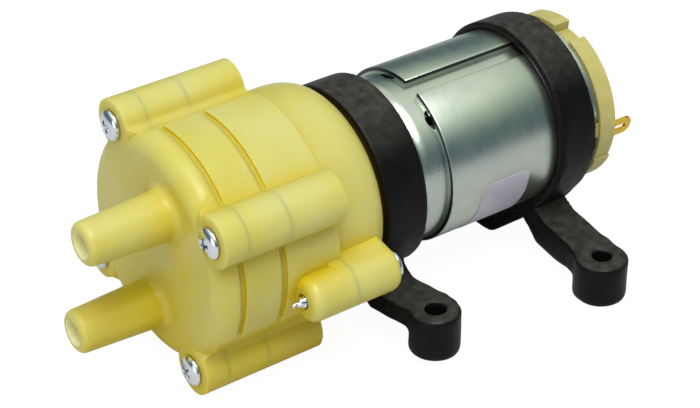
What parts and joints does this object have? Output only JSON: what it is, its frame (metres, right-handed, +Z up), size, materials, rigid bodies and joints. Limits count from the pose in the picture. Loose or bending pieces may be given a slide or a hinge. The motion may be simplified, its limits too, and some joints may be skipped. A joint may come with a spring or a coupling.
{
  "type": "miniature water pump",
  "caption": "Small diaphragm water pump: round moulded head with tapered hose ports, steel-cased DC motor behind it, carried in rubber band mounts with drilled feet.",
  "frame": {"origin": "on the floor, at the middle of the four foot holes", "axes": "+X along the pump axis from the hose ports to the motor terminals, +Z up, -Y the side that the picture shows"},
  "size_m": [0.1024, 0.0558, 0.044],
  "materials": {
    "nylon": "satin",
    "bell_nylon": "satin",
    "white_acetal": "satin",
    "seal_rubber": "matte",
    "mount_rubber": "satin",
    "zinc_steel": "satin",
    "bright_steel": "polished",
    "screw_steel": "polished",
    "core_steel": "satin",
    "ferrite": "matte",
    "bearing_bronze": "satin",
    "copper": "satin",
    "brass": "polished",
    "dark_resin": "matte",
    "carbon": "matte",
    "label_paper": "matte"
  },
  "bodies": {
    "pump": {"front_cover": "nylon", "cover_gasket": "seal_rubber", "valve_plate": "nylon", "inlet_valves": "seal_rubber", "outlet_valve": "seal_rubber", "diaphragm": "seal_rubber", "diaphragm_frame": "nylon", "crank_housing": "nylon", "cover_screws": "screw_steel", "ear_screws": "screw_steel", "motor_screws": "screw_steel", "motor_can": "zinc_steel", "flux_ring": "zinc_steel", "magnets": "ferrite", "magnet_spring": "bright_steel", "front_bearing": "bearing_bronze", "rear_bearing": "bearing_bronze", "brush_arms": "brass", "carbon_brushes": "carbon", "end_bell": "bell_nylon", "terminals": "brass", "front_mount": "mount_rubber", "rear_mount": "mount_rubber", "motor_label": "label_paper"},
    "rotor": {"motor_shaft": "bright_steel", "armature_core": "core_steel", "armature_windings": "copper", "commutator_hub": "dark_resin", "commutator_segments": "copper", "thrust_washers": "dark_resin", "eccentric_wheel": "white_acetal", "wobble_pin": "bright_steel"},
    "wobble": {"wobble_plate": "white_acetal"}
  },
  "joints": [
    {"name": "rotor_spin", "type": "hinge", "parent": "pump", "child": "rotor", "pos_m": [0, 0, 0.0228], "axis": [1, 0, 0], "continuous": true},
    {"name": "wobble_turn", "type": "hinge", "parent": "rotor", "child": "wobble", "pos_m": [-0.0347, 0, 0.0228], "axis": [0.9936, 0.0274, -0.1098], "continuous": true, "deforming": ["diaphragm"]}
  ],
  "couplings": [
    {"joint": "wobble_turn", "follows": "rotor_spin", "ratio": -1}
  ]
}
